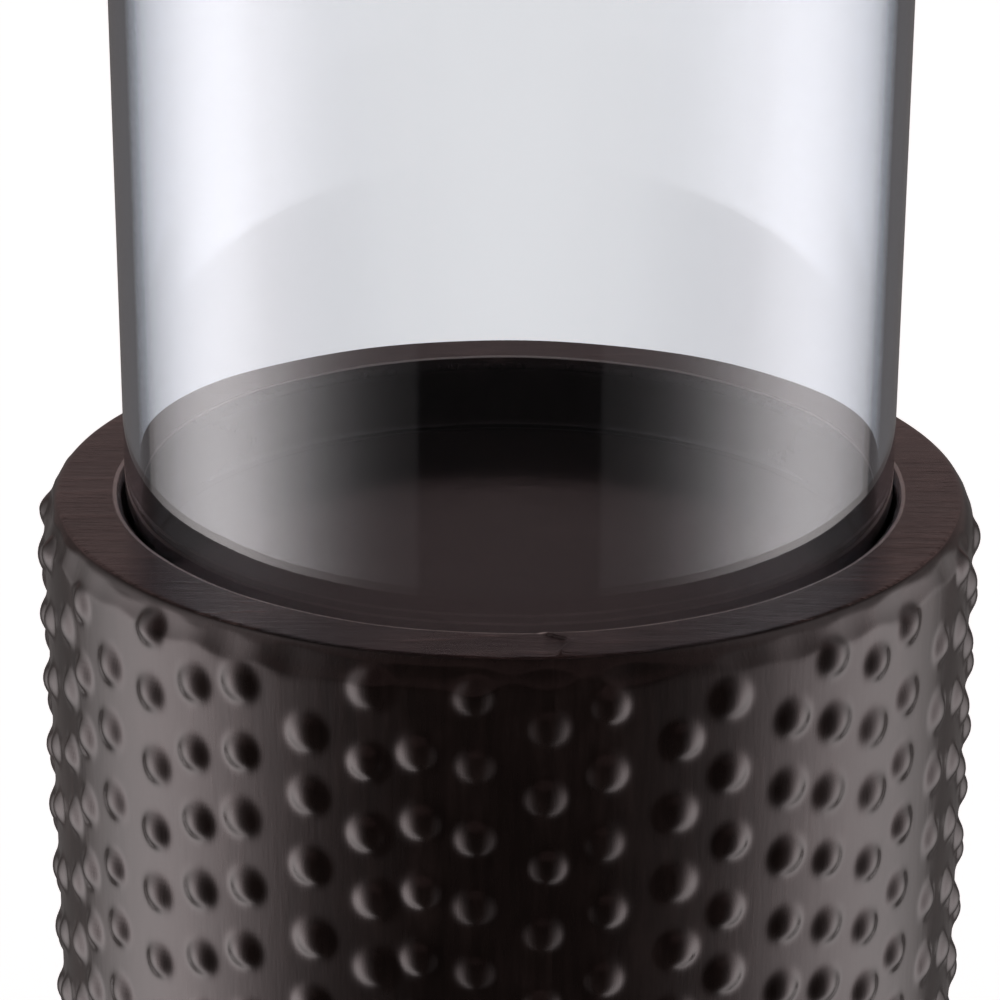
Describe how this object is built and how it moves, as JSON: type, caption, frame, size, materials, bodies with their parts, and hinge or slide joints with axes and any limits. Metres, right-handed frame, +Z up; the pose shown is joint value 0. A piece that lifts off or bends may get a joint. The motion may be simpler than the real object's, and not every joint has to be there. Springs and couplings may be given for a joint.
{
  "type": "tabletop garden torch",
  "caption": "Tabletop garden torch: a hobnailed metal drum with a shallow candle pan in its top and a loose glass chimney standing in the pan.",
  "frame": {"origin": "on the drum's axis, level with the undersides of the rubber feet", "axes": "+Z up along the drum's and the glass's axis, -Y towards the front, which is the side the rim's seam is on"},
  "size_m": [0.1515, 0.1514, 0.3997],
  "materials": {
    "bronze_drum": "dark bronze, satin, hand rubbed over punched hobnails",
    "bronze_pan": "dark bronze, satin",
    "clear_glass": "clear, fire-polished ends",
    "bronze_plate": "dark bronze, matt",
    "plain_strap": "bare steel strip",
    "black_rubber": "moulded, matt",
    "zinc_screws": "zinc plated",
    "zinc_nuts": "zinc plated"
  },
  "bodies": {
    "base": {"drum_shell": "bronze_drum", "seam_strap": "plain_strap", "candle_pan": "bronze_pan", "base_plate": "bronze_plate", "rubber_feet": "black_rubber", "foot_screws": "zinc_screws", "weld_nuts": "zinc_nuts"},
    "chimney": {"glass_chimney": "clear_glass"}
  },
  "joints": [
    {"name": "glass_lift", "type": "slide", "parent": "base", "child": "chimney", "axis": [0, 0, 1], "range_m": [0, 0.12]}
  ]
}
